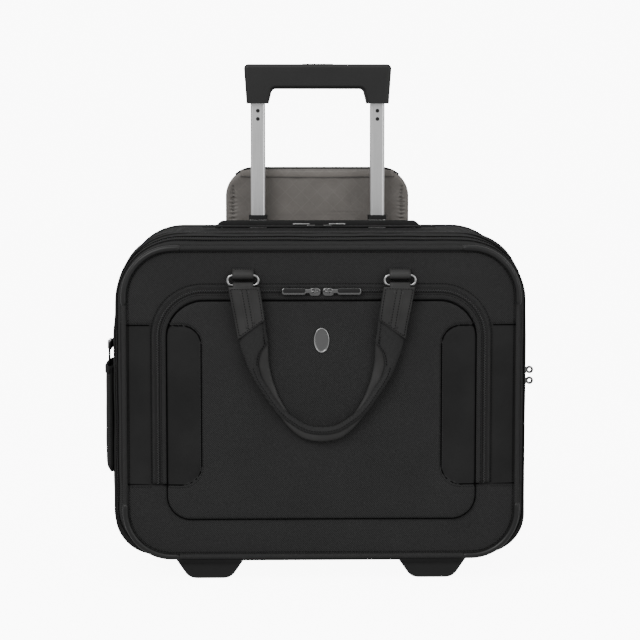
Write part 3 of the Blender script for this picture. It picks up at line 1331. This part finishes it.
def side_slider():
    """The side pocket's slider with its leather tail."""
    part = Batch()
    mid = 105.0
    z = 238.0
    plate(part, at(-224.0, mid, z), Y, Z, 5.2, 4.0, 1.8, 3.0, 0.7)
    plate(part, at(-226.4, mid, z - 2.4), Y, Z, 3.4, 4.8, 1.8, 1.8, 0.5, hole=(0, -2.2, 1.5, 1.0))
    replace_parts(part.build("side_slider_body", "ring_metal", "side_slide"), "side_slider")
    tail = Batch()
    plate(tail, at(-225.6, mid, z - 12.0), Y, Z, 3.6, 8.0, 1.4, 1.8, 0.6)
    tail.build("side_pull_tail", "leather", "side_slide")


def badge():
    """A plain oval plate with a raised rim: it carries no mark."""
    lo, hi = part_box("badge")
    mid = (Vector(lo) + Vector(hi)) / 2
    half_x, half_z = (hi[0] - lo[0]) / 2 / MM, (hi[2] - lo[2]) / 2 / MM
    loops = []
    for k, d in ((0.96, 1.0), (1.0, 0.3), (1.0, -0.7), (0.97, -1.1), (0.9, -1.25), (0.84, -1.0),
                 (0.8, -0.6), (0.74, -0.55), (0.3, -0.62), (0.02, -0.65)):
        loops.append([mid + Vector((cos(2 * pi * i / 48) * half_x * k * MM, (d - 0.3) * MM,
                                    sin(2 * pi * i / 48) * half_z * (1 - (1 - k) * half_x / half_z) * MM))
                                    for i in range(48)])
    verts, faces = loft(loops)
    faces.append(tuple(range(9 * 48, 10 * 48)))
    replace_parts(mesh_object("badge_plate", verts, faces, "badge_metal", "front_section"), "badge")
    rim = [mid + Vector((cos(2 * pi * i / 48) * half_x * 0.92 * MM, -1.25 * MM,
                         sin(2 * pi * i / 48) * half_z * 0.95 * MM)) for i in range(48)]
    mesh_object("badge_rim", *tube_mesh(rim, 0.6 * MM, 8, closed=True), "ring_metal", "front_section")


FOOT_X = 115.5
FOOT_HALF_W = (21.5, 35.5)  # at the floor and at the top


def feet():
    """Two moulded feet: wedges with soft corners and a shadow line under the case."""
    for side, name in ((-1, "left"), (1, "right")):
        lo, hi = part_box("front_feet")
        d0, d1 = (lo[1] - Y0) / MM, (hi[1] - Y0) / MM
        top = hi[2] / MM
        loops = []
        for z, grow in ((top, -0.4), (top - 0.8, 0.0), (top - 2.0, 0.0), (top - 2.6, -0.7),
                        (top - 3.2, 0.0), (10, 0), (5.0, 0.0), (2.5, -0.9), (1.0, -2.2), (0.25, -3.8),
                        (0.0, -5.0)):
            u = z / top
            half = FOOT_HALF_W[0] + (FOOT_HALF_W[1] - FOOT_HALF_W[0]) * u + grow
            hd = (d1 - d0) / 2 + min(grow, 0) * 0.8
            r = 4.5
            pts = []
            for cx, cd, start in ((half - r, hd - r, 0), (-half + r, hd - r, pi / 2),
                                  (-half + r, -hd + r, pi), (half - r, -hd + r, 3 * pi / 2)):
                for i in range(7):
                    a = start + pi / 2 * i / 6
                    pts.append(at(side * FOOT_X + cx + r * cos(a), (d0 + d1) / 2 + cd + r * sin(a), z))
            loops.append(pts)
        verts, faces = loft(loops, capped=True)
        foot = mesh_object("foot_" + name, verts, faces, "moulded_plastic", "case")
        if side == 1:
            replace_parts(foot, "front_feet")


def tray():
    """The moulded base: a plate with bevelled edges and long ribs to slide on."""
    lo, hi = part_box("base_tray")
    d0, d1 = (lo[1] - Y0) / MM, (hi[1] - Y0) / MM
    part = Batch()
    plate(part, at(0, (d0 + d1) / 2, (lo[2] / MM + 1.3)), X, Y, hi[0] / MM, (d1 - d0) / 2, 8.0, 2.4, 0.8)
    for x in (-60, -20, 20, 60):
        plate(part, at(x, (d0 + d1) / 2, lo[2] / MM - 0.2), X, Y, 4.0, (d1 - d0) / 2 - 14, 3.9, 2.0, 0.8)
    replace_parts(part.build("base_moulding", "moulded_plastic", "case"), "base_tray")


def wheels():
    """Turned tyres with two grooves, hubs with spoked faces, and cap screws."""
    for side, name in ((-1, "left"), (1, "right")):
        centre = at(side * WHEEL_X, 181.0, 29.0)
        tyre = both_ends([(20.0, -9.4), (22.0, -10.0), (25.5, -10.0), (27.6, -9.0), (28.7, -7.2),
                          (29.0, -5.4), (29.0, -4.0), (28.0, -3.7), (28.0, -2.9), (29.0, -2.6)])
        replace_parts(mesh_object("tyre_" + name, *lathe(tyre, centre, X, 72), "tyre", "wheel_" + name),
                    "wheel_tyre_" + name)
        hub = Batch()
        rim = both_ends([(9.05, -9.8), (10.8, -9.8), (11.6, -9.0), (12.0, -6.2), (17.2, -6.2),
                         (17.6, -9.0), (18.2, -9.8), (19.6, -9.6), (20.0, -9.0)])
        hub.add(*lathe(rim, centre, X, 60))
        for k in range(6):
            a = 2 * pi * k / 6 + 0.3
            way = Vector((0, cos(a), sin(a)))
            for face in (-1, 1):
                plate(hub, centre + way * 14.6 * MM + X * face * 7.0 * MM, way, way.cross(X).normalized(),
                      3.6, 1.3, 1.0, 3.0, 0.5)
        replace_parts(hub.build("hub_" + name, "moulded_plastic", "wheel_" + name), "wheel_hub_" + name)


for side, name in ((-1, "left"), (1, "right")):
    pocket_slider(side, name)
    top_slider(side, name)
lock_sliders()
side_slider()
badge()
feet()
tray()
wheels()


# ------------------------------------------------------------------------------------------ stage
def light(name, place, target, size, power, color=(1, 1, 1)):
    data = bpy.data.lights.new(name, "AREA")
    data.shape = "RECTANGLE"
    data.size, data.size_y = size
    data.energy = power
    data.color = color
    lamp = bpy.data.objects.new(name, data)
    bpy.context.scene.collection.objects.link(lamp)
    lamp.location = place
    lamp.rotation_euler = (Vector(target) - Vector(place)).to_track_quat("-Z", "Y").to_euler()
    return lamp


def studio():
    world = bpy.data.worlds.new("studio")
    bpy.context.scene.world = world
    world.use_nodes = True
    world.node_tree.nodes["Background"].inputs[0].default_value = (1, 1, 1, 1)
    world.node_tree.nodes["Background"].inputs[1].default_value = 0.8
    light("key", (-1.3, -1.9, 1.9), (0, 0, 0.25), (1.4, 1.4), 52)
    light("fill", (1.7, -1.7, 1.0), (0, 0, 0.25), (1.2, 1.6), 18)
    light("top", (0.0, -0.9, 2.2), (0, 0, 0.2), (1.8, 1.2), 9)
    profile = [(0.6, 0.0), (1.4, 0.0), (2.6, 0.0)]
    profile += [(2.6 + 1.2 * sin(pi / 2 * i / 20), 1.2 - 1.2 * cos(pi / 2 * i / 20)) for i in range(1, 21)]
    profile += [(3.8, 3.0), (3.8, 5.0)]
    verts = [(r * cos(2 * pi * k / 96), r * sin(2 * pi * k / 96), z) for r, z in profile for k in range(96)]
    faces = [(i * 96 + k, (i + 1) * 96 + k, (i + 1) * 96 + (k + 1) % 96, i * 96 + (k + 1) % 96)
             for i in range(len(profile) - 1) for k in range(96)]
    faces.append(tuple(range(96)))
    mesh = bpy.data.meshes.new("floor")
    mesh.from_pydata(verts, [], faces)
    mesh.polygons.foreach_set("use_smooth", [True] * len(mesh.polygons))
    floor = bpy.data.objects.new("floor", mesh)
    bpy.context.scene.collection.objects.link(floor)
    n = Nodes("floor")
    n.bsdf.inputs["Emission Color"].default_value = (1, 1, 1, 1)
    n.bsdf.inputs["Emission Strength"].default_value = 9.0
    mesh.materials.append(n.done(color=(0.92, 0.92, 0.92), rough=0.9, spec=0.1))
    floor.visible_diffuse = False
    floor.visible_glossy = False


def camera():
    data = bpy.data.cameras.new("camera")
    cam = bpy.data.objects.new("camera", data)
    bpy.context.scene.collection.objects.link(cam)
    target = Vector((-0.0015, -0.098, 0.2713))
    distance, elevation, azimuth = 2.0, radians(5.5), radians(-1.3)
    away = Vector((sin(azimuth) * cos(elevation), -cos(azimuth) * cos(elevation), sin(elevation)))
    cam.location = target + away * distance
    cam.rotation_euler = (-away).to_track_quat("-Z", "Y").to_euler()
    data.lens = 110.0
    data.sensor_width = 36.0
    data.clip_end = 30
    bpy.context.scene.camera = cam


studio()
camera()
